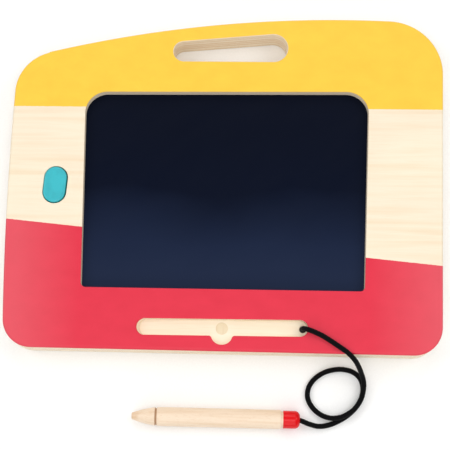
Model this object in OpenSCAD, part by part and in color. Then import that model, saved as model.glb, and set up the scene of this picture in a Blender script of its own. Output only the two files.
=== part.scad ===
// Wooden drawing board with an erasable LCD screen and a tethered wooden stylus.
// Millimetres. The board lies on its back: X to the right, Y towards the handle slot, Z out of the
// painted face. The origin is the middle of the back face.

/* [Board] */
// Width of the board at its widest
board_w = 275.6; // [262:0.2:300]
// Height of the board from its lowest corner to the crown of the top edge
board_h = 217; // [210:1:240]
// Thickness of the painted front panel, which is also the depth of its cut-outs
front_t = 6; // [5:0.5:8]
// Thickness of the middle frame, which holds the screen and the electronics
core_t = 10; // [9.5:0.5:12]
// Thickness of the back panel
back_t = 4; // [3.5:0.5:6]
// Radius of the rounded outer edges, front and back
edge_r = 1.5; // [0.5:0.1:2.5]
// Radius of the bowed top edge
top_r = 760; // [600:10:1200]
// How far right of the middle the top edge is highest
crown_x = 74.6; // [50:0.2:95]
// Radius of the top left corner
corner_tl = 28; // [15:1:40]
// Radius of the top right corner
corner_tr = 35; // [15:1:45]
// Radius of the two lower corners
corner_low = 18; // [12:1:30]
// Lean of the right side inwards, in degrees
side_lean = 1.4; // [0:0.1:3]
// Radius of the bowed left side
side_bow = 2000; // [1500:100:4000]
// Height above the board's middle at which the left side is widest
bow_y = -20; // [-40:1:10]
// Fall of the lower edge to the right, in degrees
foot_fall = 0.5; // [0:0.1:1.5]

/* [Paint] */
// Height of the yellow paint's lower edge on the board's midline
yellow_y = 47.7; // [35:0.5:60]
// Rise of that edge to the right, in degrees
yellow_rise = 0.15; // [0:0.05:1]
// Height of the red paint's upper edge on the board's midline
red_y = -39.7; // [-55:0.5:-25]
// Fall of the red paint's upper edge to the right, in degrees
red_fall = 5.6; // [0:0.1:8]
// Depth that the paint soaks into the face
paint_t = 0.3; // [0.1:0.1:0.5]

/* [Screen window] */
// Width of the window at its top
window_w = 181; // [165:1:188]
// Height of the window at its right side
window_h = 128.8; // [115:0.2:134]
// Middle of the window, right of the board's middle
window_x = -0.3; // [-2:0.1:4]
// Middle of the window, above the board's middle
window_y = -5; // [-7:0.1:-2]
// Fall of the window's top edge to the left, in degrees
window_fall = 0.6; // [0:0.1:1]
// Fall of its lower edge to the right, in degrees
window_foot_fall = 0.2; // [0:0.1:1]
// Lean of its left side inwards, in degrees
window_lean_left = 0.7; // [0:0.1:2]
// Lean of its right side inwards, in degrees
window_lean_right = 1.8; // [0:0.1:3]
// Radius of the window's top corners
window_r_top = 14; // [6:1:22]
// Radius of the window's lower corners
window_r_low = 3; // [1:0.5:8]

/* [Screen module] */
// How far the screen reaches under the panel on each side
screen_border = 4; // [3:0.5:5]
// Thickness of the bonded writing film
film_t = 0.8; // [0.5:0.1:1.2]
// Thickness of the foam gasket between film and panel
gasket_t = 0.5; // [0.3:0.1:0.8]
// Thickness of the screen tray's walls and ribs
tray_wall = 1.6; // [1.2:0.1:2.4]
// Number of bays that the tray's ribs make along its width
tray_bays_x = 6; // [3:1:9]
// Number of bays that the tray's ribs make along its height
tray_bays_y = 4; // [2:1:6]

/* [Handle slot] */
// Distance between the centres of the slot's two round ends
slot_len = 57.7; // [45:0.5:75]
// Radius of the slot's left end
slot_r_left = 6.6; // [5:0.1:8]
// Radius of the slot's right end
slot_r_right = 9.15; // [7:0.05:10]
// Rise of the slot's centreline to the right, in degrees
slot_rise = 2.8; // [0:0.1:5]
// Distance from the crown of the top edge down to the slot's left centre
slot_drop = 22.9; // [20:0.1:26]
// Radius of the slot's rounded rims, front and back
slot_rim = 1; // [0.4:0.1:1.5]

/* [Stylus groove] */
// Length of the groove between its rounded ends
groove_len = 105.8; // [98:0.2:125]
// Width of the groove
groove_w = 10.2; // [9:0.1:10.8]
// Distance from the board's lowest corner up to the groove's centreline
groove_up = 15.7; // [14:0.1:20]
// Run of the ramp at the groove's left end
groove_ramp = 2.3; // [1:0.1:4]
// Width of the thumb notch where it leaves the groove
notch_mouth = 13.4; // [11:0.1:16]
// Width of the thumb notch at its bottom
notch_foot = 9.4; // [9.2:0.1:10.5]
// Depth of the thumb notch below the groove
notch_depth = 5.5; // [5.5:0.1:6.2]
// Diameter of the tray magnet
magnet_d = 7.6; // [6:0.2:9]
// Thickness of the tray magnet
magnet_t = 3; // [2:0.5:5]
// Middle of the groove and the magnet, right of the board's middle
groove_x = -1.7; // [-10:0.1:5]

/* [Erase button] */
// Length of the button's cap
button_len = 23; // [20:0.5:26]
// Width of the button's cap
button_w = 14; // [12:0.5:15]
// Distance from the window's left edge to the button's centre
button_gap = 17; // [16.5:0.5:20]
// Height of the button's centre above the board's middle
button_y = -4; // [-10:0.5:4]
// Lean of the button to the right, in degrees
button_lean = 4.5; // [0:0.5:8]
// Clearance round the cap in its hole
button_clear = 0.5; // [0.4:0.1:0.7]
// How far the cap stands out of the panel
button_proud = 0.5; // [0.2:0.1:1.2]
// Width of the flange that keeps the button in
flange_w = 1.2; // [0.8:0.1:1.4]
// Thickness of that flange
flange_t = 1.2; // [0.8:0.1:1.5]
// Travel of the button
button_travel = 0.8; // [0.3:0.1:0.9]

/* [Electronics] */
// Width of the control board
pcb_w = 26; // [25:0.5:28]
// Length of the control board
pcb_len = 54; // [52:0.5:60]
// Thickness of the control board
pcb_t = 1.2; // [0.8:0.1:1.6]
// Side of the square tact switch
switch_w = 6; // [5:0.5:8]
// Height of the tact switch's housing
switch_h = 2.5; // [2.3:0.1:3]
// Diameter of the coin cell
cell_d = 20; // [16:0.5:20.5]
// Thickness of the coin cell
cell_t = 3.2; // [1.6:0.1:3.4]
// Outer side of the square battery holder
holder_w = 24; // [23.5:0.5:25]
// Thickness of the battery door
door_t = 2; // [1.6:0.1:2.4]
// Width of the ledge that the battery door rests on
door_ledge = 3; // [2:0.5:4]
// Gap round the battery door and other loose fits
gap = 0.4; // [0.2:0.1:0.6]

/* [Screws] */
// Shank radius of the panel's wood screws
screw_r = 1.4; // [1:0.1:1.8]
// Head radius of the panel's wood screws
screw_head_r = 3; // [2.4:0.1:3.6]
// Length of the panel's wood screws
screw_len = 12.5; // [8:0.5:12.5]
// Distance from the board's side to the outer screws
screw_inset = 9; // [7:0.5:11]

/* [Stylus] */
// Length of the stylus from its tip to the end of its cap
stylus_len = 103.3; // [95:0.5:115]
// Radius of the wooden barrel
barrel_r = 5.8; // [5.2:0.05:6]
// Radius of the blunt tip
tip_r = 2.1; // [1:0.1:2.5]
// Length of the turned cone behind the tip
cone_len = 14.4; // [11:0.1:18]
// Width of the turned ring groove
ring_w = 1.1; // [0.8:0.1:2]
// Depth of the turned ring groove
ring_depth = 0.5; // [0.3:0.1:1]
// Length of the red cap outside the barrel
cap_len = 10.3; // [9.5:0.1:16]
// Radius of the red cap
cap_r = 5.45; // [5.1:0.05:5.6]
// Length of the cap's spigot inside the barrel
spigot_len = 13; // [8:0.5:20]
// Distance from the board's left side to the tip, along X
stylus_inset = 81.4; // [75:0.1:95]
// Gap on the table between the board's lower edge and the barrel
stylus_gap = 32.05; // [25:0.05:45]
// Turn of the stylus on the table, in degrees
stylus_turn = -0.6; // [-3:0.1:3]

/* [Tether] */
// Diameter of the braided cord
cord_d = 3.2; // [2:0.1:3.4]
// Diameter of the cord's holes
cord_hole_d = 4.2; // [4:0.1:4.6]
// Radius of the knot in the board
knot_r = 3.8; // [3:0.1:4.5]

/* [Hidden] */

$fn = 48;
// A hair of room between pieces that touch all round, such as a glued plug in its hole
fit = 0.02;
// How far a cutter runs past the face that it cuts
over = 1;

// Layers, from the back face up
core_z = back_t;
front_z = back_t + core_t;
top_z = front_z + front_t;

// The outline is a chain of arcs joined by straight sides. Its corner centres follow from the
// sides that each corner touches.
crown = [crown_x, board_h / 2 - top_r];
function on_crown(x, r) = [x, crown.y + sqrt(pow(top_r - r, 2) - pow(x - crown.x, 2))];
centre_tr = on_crown(board_w / 2 - corner_tr, corner_tr);
// The left side is a slow curve too. Each left corner's centre lies on the inner offset of that curve
bow = [side_bow - board_w / 2, bow_y];
function on_bow(y, r) = [bow.x - sqrt(pow(side_bow - r, 2) - pow(y - bow.y, 2)), y];
centre_tl = on_bow(on_crown(corner_tl - board_w / 2, corner_tl).y, corner_tl);
side_out = [cos(side_lean), -sin(side_lean)];
side_start = centre_tr + (corner_tr - corner_low) * side_out;
low_y = corner_low - board_h / 2;
centre_br = [side_start.x - (side_start.y - low_y) * tan(side_lean), low_y];
centre_bl = on_bow(low_y + (board_w - 2 * corner_low) * tan(foot_fall), corner_low);
angle_tr = atan2(centre_tr.y - crown.y, centre_tr.x - crown.x);
angle_tl = atan2(centre_tl.y - crown.y, centre_tl.x - crown.x);
bow_top = 180 - asin((centre_tl.y - bow.y) / (side_bow - corner_tl));
bow_foot = 180 + asin((bow.y - centre_bl.y) / (side_bow - corner_low));
// Each arc: centre, radius, first and last angle, steps, and how many of its end points are left out
board_arcs = [
    [centre_br, corner_low, -90 - foot_fall, -side_lean, 12, 0],
    [centre_tr, corner_tr, -side_lean, angle_tr, 14, 0],
    [crown, top_r, angle_tr, angle_tl, 14, 1],
    [centre_tl, corner_tl, angle_tl, bow_top, 12, 0],
    [bow, side_bow, bow_top, bow_foot, 6, 1],
    [centre_bl, corner_low, bow_foot, 270 - foot_fall, 12, 0]
];
function side_x(y) = centre_tr.x + corner_tr / cos(side_lean) - (centre_tr.y - y) * tan(side_lean);

// The handle slot is two circles joined by their outer tangents
slot_a = [-slot_len / 2 * cos(slot_rise) + 0.2, board_h / 2 - slot_drop];
slot_b = slot_a + slot_len * [cos(slot_rise), sin(slot_rise)];
slot_flare = asin((slot_r_right - slot_r_left) / slot_len);
slot_arcs = [
    [slot_b, slot_r_right, slot_rise - 90 - slot_flare, slot_rise + 90 + slot_flare, 18, 0],
    [slot_a, slot_r_left, slot_rise + 90 + slot_flare, slot_rise + 270 - slot_flare, 14, 0]
];

// Window in the front panel, each side with its own small lean
window_x0 = window_x - window_w / 2;
window_y0 = window_y - window_h / 2;
window_x1 = window_x0 + window_w;
window_y1 = window_y0 + window_h;
window_corners = [
    [window_x0 + window_h * tan(window_lean_left), window_y0 + window_w * tan(window_foot_fall)],
    [window_x1 - window_h * tan(window_lean_right), window_y0],
    [window_x1, window_y1],
    [window_x0, window_y1 - window_w * tan(window_fall)]
];
window_radii = [window_r_low, window_r_low, window_r_top, window_r_top];

// Screen module, a plain rectangle under the window
film_x0 = window_x0 - screen_border;
film_y0 = window_y0 - screen_border;
film_w = window_w + 2 * screen_border;
film_h = window_h + 2 * screen_border;
film_y1 = film_y0 + film_h;
film_z = front_z - gasket_t - film_t;
tray_h = film_z - core_z;
bay_x0 = film_x0 - gap;
bay_y0 = film_y0 - gap;
bay_w = film_w + 2 * gap;
bay_h = film_h + 2 * gap;

// Groove, notch and tether hole
groove_y = groove_up - board_h / 2;
groove_r = groove_w / 2;
groove_a = groove_x - groove_len / 2 + groove_r;
groove_b = groove_x + groove_len / 2 - groove_r;
notch_y = groove_y - groove_r;
notch_side = notch_mouth / 2 + 3;
notch_corners = [
    [groove_x + notch_side, notch_y + 1], [groove_x - notch_side, notch_y + 1],
    [groove_x - notch_side, notch_y], [groove_x - notch_mouth / 2, notch_y],
    [groove_x - notch_foot / 2, notch_y - notch_depth],
    [groove_x + notch_foot / 2, notch_y - notch_depth],
    [groove_x + notch_mouth / 2, notch_y], [groove_x + notch_side, notch_y]
];
notch_radii = [0, 0, 0, 1.9, 6.3, 6.3, 1.9, 0];
tether_x = groove_b + 2.1;
knot_z = front_z - 3.5;
knot_h = 5;

// Button and the stack under it, measured down from the panel's inner face
button_x = window_x0 - button_gap;
// How far the cap has settled off the middle of its hole
button_set = [-0.25, 0.15];
post_h = 0.5;
post_r = 2.5;
stem_h = 1;
stem_r = 1.7;
dome_h = button_travel + 0.1;
dome_floor = 0.3;
pcb_z1 = front_z - flange_t - post_h - stem_h - switch_h;
pcb_z0 = pcb_z1 - pcb_t;

// Electronics pocket beside the screen bay
web = 2.7;
ledge = 5;
pocket_w = pcb_w + 2 * gap;
pocket_len = pcb_len + 2 * gap;
pocket_x = bay_x0 - web - pocket_w / 2;
pocket_y = button_y + 1;
pcb_screw_r = 0.95;
pcb_screw_head = [1.9, 1.2];
pcb_screw_len = 4.5;
tail_y = pocket_y + pocket_len / 2 - ledge - 5.4;
tail_w = 8;
tail_z = film_z + 0.2;
socket_x = pocket_x + 7;
socket_size = [4, tail_w + 1, 1.4];
chip_size = [5, 4, 1.3];
coil_size = [4, 4, 1.8];
capacitor_size = [1.2, 2, 0.8];
parts_gap = 2;
parts_y = button_y - switch_w / 2 - coil_size.y - 5;

// Battery holder, cell and door
holder_x = pocket_x;
holder_y = pocket_y + pocket_len / 2 - ledge - holder_w / 2 - 2.4;
holder_z0 = door_t + 0.3;
cup_floor = pcb_z0 - 0.6;
contact_t = 0.4;
cell_z1 = cup_floor - contact_t;
cell_z0 = cell_z1 - cell_t;
cup_r = cell_d / 2 + 0.2;
hatch_w = holder_w + 2 * gap;
door_w = hatch_w + 2 * door_ledge;
door_y0 = holder_y - hatch_w / 2 - door_ledge;
door_screw_y = pocket_y + pocket_len / 2 + 4.5;
door_y1 = door_screw_y + 4.5;
door_screw_r = 1.2;
door_head_r = 2.4;
door_head_h = 1.2;
insert_r = 2;
insert_h = 4.8;
door_screw_len = core_z + insert_h - 0.8;

// Panel screws stand clear of the bay, the pocket and the slot
head_h = screw_head_r - screw_r;
sink = 0.3;
screw_spots = [
    [screw_inset - board_w / 2, centre_tl.y - 9],
    [screw_inset - board_w / 2, pocket_y - pocket_len / 2 - 10],
    [screw_inset - board_w / 2, centre_bl.y],
    [side_x(centre_tr.y) - screw_inset, centre_tr.y],
    [side_x(window_y) - screw_inset, window_y],
    [side_x(low_y) - screw_inset, low_y],
    [window_x, (film_y1 + slot_a.y - slot_r_left) / 2],
    [window_x, (film_y0 + groove_y + groove_r) / 2]
];

// Stylus, turned about X from its tip
stylus_at = [stylus_inset - board_w / 2, -board_h / 2 - stylus_gap - barrel_r, barrel_r];
barrel_len = stylus_len - cap_len;
neck_len = 1.3;
neck_r = cap_r - 0.55;
cone_r = barrel_r - 0.25;
nose_swell = 0.45;
spigot_r = barrel_r - 1.9;
cavity_r = spigot_r - 0.9;
cap_wall = 3.8;
dome_r = cap_r - cord_hole_d / 2;
core_r = 2;
core_len = 12;
core_at = stylus_len / 2 - core_len / 2;
cap_knot_r = cavity_r - 0.15;
cap_knot_h = 5;

// Tether route, from the knot in the board, over the panel and off its lower edge, once round on the
// table, under its own first turn and into the cap
tether_route = [
    [48.2, -92.8, 10.6], [48.2, -92.8, 17.8], [49.2, -93.1, 21], [52, -94.2, 23.2],
    [56.6, -96, 22.8], [61.6, -98.4, 21.8], [71.6, -104.9, 21.6], [76, -108.2, 21.4],
    [79.8, -111.9, 19], [82.6, -115.6, 14.4], [84.6, -119, 9.4], [86, -122.4, 6.2],
    [86.4, -126.6, 5.1], [85, -133.4, 5], [81.4, -139.4, 5], [77.1, -143, 5],
    [72, -145.4, 4.8], [66.6, -146, 3.7], [61.4, -144.6, 2.2], [56.8, -141.6, 1.7],
    [53.4, -137.4, 1.7], [51.8, -132.6, 1.7], [52.6, -127.2, 1.7], [56, -122.2, 1.7],
    [61.2, -118.4, 1.7], [67.2, -116.3, 1.7], [73.6, -115.8, 1.7], [79.8, -117.3, 1.7],
    [84.4, -121.2, 1.7], [86.2, -127, 1.7], [85.2, -133.2, 1.7], [82, -138.8, 1.7],
    [77, -143.8, 1.7], [71, -147.6, 1.7], [64.6, -150.2, 1.9], [58.2, -151, 3],
    [52, -149.6, 4.7], [47.6, -147.9, 5.6], [43.2, -147.4, 5.8]
];
rings_per_point = 2;

// ---- Shared functions and shapes ----

function unit(v) = v / norm(v);

function arc(c, r, a, b, n, skip = 0) =
    [for (i = [skip:n - skip]) let (t = a + (b - a) * i / n) c + r * [cos(t), sin(t)]];

// Outline of a chain of arcs, moved inwards by e
function outline(arcs, e = 0) = [for (s = arcs) each arc(s[0], s[1] - e, s[2], s[3], s[4], s[5])];

// Closed anticlockwise path whose corners, hollow ones too, are rounded, each to its own radius
function rounded(points, radii, steps = 8) =
    let (n = len(points))
    [for (i = [0:n - 1])
        let (
            b = points[i],
            u = unit(points[(i + n - 1) % n] - b),
            v = unit(points[(i + 1) % n] - b),
            half = acos(u * v) / 2,
            c = b + unit(u + v) * radii[i] / sin(half),
            from = b + u * radii[i] / tan(half) - c,
            turn = (180 - 2 * half) * sign(v.x * u.y - v.y * u.x),
            start = atan2(from.y, from.x)
        )
        each radii[i] > 0 ? arc(c, radii[i], start, start + turn, steps) : [b]
    ];

// Outline of a shape with two round ends, its length along X
function long_round(a, b, y, r) =
    concat(arc([b, y], r, -90, 90, 14), arc([a, y], r, 90, 270, 14));

function lift(points, z) = [for (p = points) [p.x, p.y, z]];

// Inset and rise of a rounded edge, from the side face to the flat face
function quarter(r, n = 4) = [for (i = [0:n]) [r - r * cos(90 * i / n), r * sin(90 * i / n)]];

// Closed solid through loops of as many points each, with a flat cap at both ends
module skin(loops) {
    n = len(loops[0]);
    last = (len(loops) - 1) * n;
    points = [for (l = loops) each l];
    sides = [
        for (k = [0:len(loops) - 2], i = [0:n - 1])
        let (a = k * n + i, b = k * n + (i + 1) % n)
        [a, a + n, b + n, b]
    ];
    caps = [[for (i = [0:n - 1]) i], [for (i = [n - 1:-1:0]) last + i]];
    polyhedron(points, concat(sides, caps));
}

// Board blank between two heights, rounded at its front face
module front_blank() {
    skin(concat(
        [lift(outline(board_arcs), front_z)],
        [for (q = quarter(edge_r)) lift(outline(board_arcs, q[0]), top_z - edge_r + q[1])]
    ));
}

module back_blank() {
    steps = quarter(edge_r);
    skin(concat(
        [for (i = [4:-1:0]) lift(outline(board_arcs, steps[i][0]), edge_r - steps[i][1])],
        [lift(outline(board_arcs), back_t)]
    ));
}

module slot_hole(z0, z1) {
    translate([0, 0, z0])
        linear_extrude(z1 - z0)
            polygon(outline(slot_arcs));
}

// Rounded rim of the handle slot at the front face
module slot_rim_front() {
    skin(concat(
        [for (q = quarter(slot_rim)) lift(outline(slot_arcs, -q[0]), top_z - slot_rim + q[1])],
        [lift(outline(slot_arcs, -slot_rim), top_z + over)]
    ));
}

module slot_rim_back() {
    steps = quarter(slot_rim);
    skin(concat(
        [lift(outline(slot_arcs, -slot_rim), -over)],
        [for (i = [4:-1:0]) lift(outline(slot_arcs, -steps[i][0]), slot_rim - steps[i][1])]
    ));
}

// Groove, whose left end wall slopes: its round end shifts to the right as it goes down
module groove_hole() {
    skin([
        for (z = [front_z - over, top_z + over])
            let (shift = groove_ramp * (top_z - z) / front_t)
            lift(long_round(groove_a + shift, groove_b, groove_y, groove_r), z)
    ]);
}

module rod(r, z0, z1) {
    translate([0, 0, z0])
        cylinder(r = r, h = z1 - z0);
}

// Slot-shaped prism with round ends, its length along Y
module stadium(length, width, z0, z1) {
    for (s = [-1, 1])
        translate([0, s * (length - width) / 2, 0])
            rod(width / 2, z0, z1);
    translate([-width / 2, -(length - width) / 2, z0])
        cube([width, length - width, z1 - z0]);
}

// Half section of a cap with a rounded top edge, its axis on Y
module cap_section(r, h, edge) {
    square([r - edge, h]);
    square([r, h - edge]);
    translate([r - edge, h - edge])
        circle(r = edge);
}

// Round knot, flat where it seats
module knot(r, h) {
    edge = h / 3;
    rotate_extrude()
        intersection() {
            square([r, h]);
            union() {
                translate([0, edge])
                    square([r, h - 2 * edge]);
                square([r - edge, h]);
                for (y = [edge, h - edge])
                    translate([r - edge, y])
                        circle(r = edge);
            }
        }
}

module at_button() {
    translate([button_x, button_y, 0])
        rotate([0, 0, -button_lean])
            children();
}

module on_stylus() {
    translate(stylus_at)
        rotate([0, 0, stylus_turn])
            rotate([0, 90, 0])
                children();
}

// ---- Board ----

module front_cut() {
    difference() {
        front_blank();
        translate([0, 0, front_z - over])
            linear_extrude(front_t + 2 * over)
                polygon(rounded(window_corners, window_radii));
        slot_hole(front_z - over, top_z + over);
        slot_rim_front();
        groove_hole();
        translate([0, 0, front_z - over])
            linear_extrude(front_t + 2 * over)
                polygon(rounded(notch_corners, notch_radii));
        at_button()
            stadium(
                button_len + 2 * button_clear, button_w + 2 * button_clear, front_z - over, top_z + over
            );
    }
}

// Half-plane above a line through (0, y) that falls to the right, from height z up
module above(y, fall, z) {
    rotate([0, 0, -fall])
        translate([-board_w, y * cos(fall), z])
            cube([2 * board_w, 2 * board_h, top_z]);
}

module front_panel() {
    paint_z = top_z - paint_t;
    color("#fdf3de")
        difference() {
            front_cut();
            above(yellow_y, -yellow_rise, paint_z);
            difference() {
                translate([-board_w, -board_h, paint_z])
                    cube([2 * board_w, 2 * board_h, top_z]);
                above(red_y, red_fall, 0);
            }
        }
    color("#fed854")
        intersection() {
            front_cut();
            above(yellow_y, -yellow_rise, paint_z);
        }
    color("#ee4259")
        difference() {
            intersection() {
                front_cut();
                translate([-board_w, -board_h, paint_z])
                    cube([2 * board_w, 2 * board_h, top_z]);
            }
            above(red_y, red_fall, 0);
        }
}

module core_frame() {
    color("#ecd9b8")
        difference() {
            translate([0, 0, core_z])
                linear_extrude(core_t)
                    polygon(outline(board_arcs));
            slot_hole(core_z - over, front_z + over);
            // Screen bay
            translate([bay_x0, bay_y0, core_z - over])
                cube([bay_w, bay_h, core_t + 2 * over]);
            // Pocket: the control board enters from the back and stops under the ledges
            translate([pocket_x - pocket_w / 2, pocket_y - pocket_len / 2, core_z - over])
                cube([pocket_w, pocket_len, pcb_z1 - core_z + over]);
            translate([pocket_x - pocket_w / 2, pocket_y - pocket_len / 2 + ledge, core_z])
                cube([pocket_w, pocket_len - 2 * ledge, core_t + over]);
            // Channel for the screen's tail
            translate([bay_x0 - web - over, tail_y - tail_w / 2 - gap, tail_z - 0.5])
                cube([web + 2 * over, tail_w + 2 * gap, core_t]);
            translate([groove_x, groove_y, 0])
                rod(magnet_d / 2 + fit, front_z - magnet_t, front_z + over);
            // Tether hole and the pocket for its knot
            translate([tether_x, groove_y, 0]) {
                rod(cord_hole_d / 2, core_z, front_z + over);
                rod(knot_r + gap, core_z - over, knot_z);
            }
            for (p = screw_spots)
                translate(p)
                    rod(screw_r + fit, core_z - over, sink + screw_len);
            for (s = [-1, 1])
                translate([pocket_x, pocket_y + s * (pocket_len - ledge) / 2, 0])
                    rod(pcb_screw_r + fit, pcb_z1 - over, pcb_z0 + pcb_screw_len);
            translate([holder_x, door_screw_y, 0])
                rod(insert_r + fit, core_z - over, core_z + insert_h);
        }
}

module back_panel() {
    color("#f2e2c4")
        difference() {
            back_blank();
            slot_hole(-over, back_t + over);
            slot_rim_back();
            translate([holder_x - hatch_w / 2, holder_y - hatch_w / 2, -over])
                cube([hatch_w, hatch_w, back_t + 2 * over]);
            translate([holder_x - door_w / 2, door_y0, -over])
                cube([door_w, door_y1 - door_y0, door_t + over]);
            translate([holder_x, door_screw_y, 0])
                rod(door_screw_r + 0.2, 0, back_t + over);
            for (p = screw_spots)
                translate(p) {
                    rod(screw_r + 0.15, 0, back_t + over);
                    rod(screw_head_r, -over, sink);
                    translate([0, 0, sink])
                        cylinder(r1 = screw_head_r, r2 = screw_r, h = head_h);
                }
        }
}

// Countersunk wood screw, head down at z = 0
module wood_screw(r, head_r, length) {
    tip = 2 * r;
    difference() {
        union() {
            cylinder(r1 = head_r, r2 = r, h = head_r - r);
            rod(r, 0, length - tip);
            translate([0, 0, length - tip])
                cylinder(r1 = r, r2 = 0.2, h = tip);
        }
        // Cross recess
        for (a = [0, 90])
            rotate([0, 0, a])
                translate([-head_r * 0.6, -0.35, -over])
                    cube([head_r * 1.2, 0.7, over + 0.8]);
    }
}

module panel_screws() {
    color("#8c8f94")
        for (p = screw_spots)
            translate([p.x, p.y, sink])
                wood_screw(screw_r, screw_head_r, screw_len);
}

// ---- Screen module ----

module lcd_screen() {
    color("#12151f")
        translate([film_x0, film_y0, film_z])
            cube([film_w, film_h, film_t]);
}

module screen_gasket() {
    inner = 2;
    color("#1c1c1e")
        difference() {
            translate([film_x0, film_y0, film_z + film_t])
                cube([film_w, film_h, gasket_t]);
            translate([film_x0 + inner, film_y0 + inner, film_z])
                cube([film_w - 2 * inner, film_h - 2 * inner, film_t + gasket_t + over]);
        }
}

// Moulded tray that carries the film: a plate on an outer wall and a lattice of ribs
module screen_tray() {
    step_x = (film_w - tray_wall) / tray_bays_x;
    step_y = (film_h - tray_wall) / tray_bays_y;
    color("#2a2b2e")
        difference() {
            translate([film_x0, film_y0, core_z])
                cube([film_w, film_h, tray_h]);
            for (i = [0:tray_bays_x - 1], j = [0:tray_bays_y - 1])
                translate([
                    film_x0 + tray_wall + i * step_x, film_y0 + tray_wall + j * step_y, core_z - over
                ])
                    cube([step_x - tray_wall, step_y - tray_wall, tray_h - tray_wall + over]);
        }
}

// Flat cable from the film's left edge, down to the socket on the control board
module screen_tail() {
    t = 0.2;
    low = pcb_z1 + 0.8;
    x1 = socket_x + socket_size.x / 2;
    color("#b9752d")
        translate([0, tail_y + tail_w / 2, 0])
            rotate([90, 0, 0])
                linear_extrude(tail_w)
                    polygon([
                        [film_x0, tail_z + t], [film_x0 - 5, tail_z + t], [x1 + 3, low + t], [x1, low + t],
                        [x1, low], [x1 + 3.1, low], [film_x0 - 4.9, tail_z], [film_x0, tail_z]
                    ]);
}

// ---- Electronics ----

module control_board() {
    color("#1f6b3a")
        difference() {
            translate([pocket_x - pcb_w / 2, pocket_y - pcb_len / 2, pcb_z0])
                cube([pcb_w, pcb_len, pcb_t]);
            for (s = [-1, 1])
                translate([pocket_x, pocket_y + s * (pocket_len - ledge) / 2, 0])
                    rod(pcb_screw_r + 0.15, pcb_z0 - over, pcb_z1 + over);
        }
}

// Block that stands on the control board, given from its middle
module on_board(x, y, size) {
    translate([pocket_x + x - size.x / 2, y - size.y / 2, pcb_z1])
        cube(size);
}

module board_parts() {
    coil_x = chip_size.x + parts_gap - 3;
    row_x = coil_size.x + parts_gap + capacitor_size.x;
    color("#26272b") {
        on_board(coil_x - chip_size.x - parts_gap, parts_y, chip_size);
        on_board(coil_x, parts_y, coil_size);
        on_board(coil_x - chip_size.x - parts_gap - row_x, parts_y, capacitor_size);
        on_board(coil_x + row_x - parts_gap, parts_y, capacitor_size);
        on_board(socket_x - pocket_x, tail_y, socket_size);
    }
}

module board_screws() {
    color("#a5a8ad")
        for (s = [-1, 1])
            translate([pocket_x, pocket_y + s * (pocket_len - ledge) / 2, 0]) {
                rod(pcb_screw_head[0], pcb_z0 - pcb_screw_head[1], pcb_z0);
                rod(pcb_screw_r, pcb_z0 - pcb_screw_head[1], pcb_z0 + pcb_screw_len - 0.4);
            }
}

module tact_switch() {
    color("#3a3b40")
        at_button()
            difference() {
                translate([-switch_w / 2, -switch_w / 2, pcb_z1])
                    cube([switch_w, switch_w, switch_h]);
                rod(stem_r + 0.15, pcb_z1 + dome_floor, pcb_z1 + switch_h + over);
            }
}

// Snap dome of sheet steel that pushes the button back
module switch_dome() {
    z = pcb_z1 + dome_floor;
    rise = dome_h - 0.15;
    r = (pow(stem_r, 2) + pow(rise, 2)) / (2 * rise);
    color("#c9ccd1")
        at_button()
            difference() {
                intersection() {
                    translate([0, 0, z + rise + 0.15 - r - 0.15])
                        sphere(r = r + 0.15);
                    rod(stem_r, z, z + dome_h + over);
                }
                translate([0, 0, z + rise - r])
                    sphere(r = r);
            }
}

module switch_plunger() {
    color("#d8d5cb")
        at_button()
            rod(stem_r, pcb_z1 + dome_floor + dome_h, pcb_z1 + switch_h + stem_h);
}

module erase_button() {
    cap_h = front_t + button_proud;
    edge = 1;
    color("#4bc3cf")
        translate(button_set)
            at_button() {
                rod(post_r, front_z - flange_t - post_h, front_z - flange_t);
                stadium(button_len + 2 * flange_w, button_w + 2 * flange_w, front_z - flange_t, front_z);
                translate([0, 0, front_z]) {
                    for (s = [-1, 1])
                        translate([0, s * (button_len - button_w) / 2, 0])
                            rotate_extrude()
                                cap_section(button_w / 2, cap_h, edge);
                    translate([0, (button_len - button_w) / 2, 0])
                        rotate([90, 0, 0])
                            linear_extrude(button_len - button_w)
                                union() {
                                    cap_section(button_w / 2, cap_h, edge);
                                    mirror([1, 0])
                                        cap_section(button_w / 2, cap_h, edge);
                                }
                }
            }
}

// ---- Battery ----

module battery_holder() {
    color("#1d1e22")
        difference() {
            translate([holder_x - holder_w / 2, holder_y - holder_w / 2, holder_z0])
                cube([holder_w, holder_w, pcb_z0 - holder_z0]);
            translate([holder_x, holder_y, 0])
                rod(cup_r, holder_z0 - over, cup_floor);
            // Seat of the plus contact in the wall
            translate([holder_x - 2.6, holder_y, holder_z0 - over])
                cube([5.2, cell_d / 2 + contact_t, cup_floor - holder_z0 + over]);
            // Finger notch for lifting the cell out
            translate([holder_x - 4, holder_y - holder_w / 2 - over, holder_z0 - over])
                cube([8, 4 + over, cell_z1 - holder_z0 + over]);
        }
}

module contact_plus() {
    color("#d9c27a")
        translate([holder_x - 2.5, holder_y + cell_d / 2, cell_z0 + 0.2])
            cube([5, contact_t, cup_floor - cell_z0 - 0.2]);
}

module contact_minus() {
    color("#d9c27a")
        translate([holder_x - 2, holder_y - 7, cell_z1])
            cube([4, 14, contact_t]);
}

module coin_cell() {
    cap_d = cell_d - 2.4;
    color("#c4c6c9")
        translate([holder_x, holder_y, 0]) {
            rod(cell_d / 2, cell_z0, cell_z1 - 0.4);
            rod(cap_d / 2, cell_z0, cell_z1);
        }
}

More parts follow.
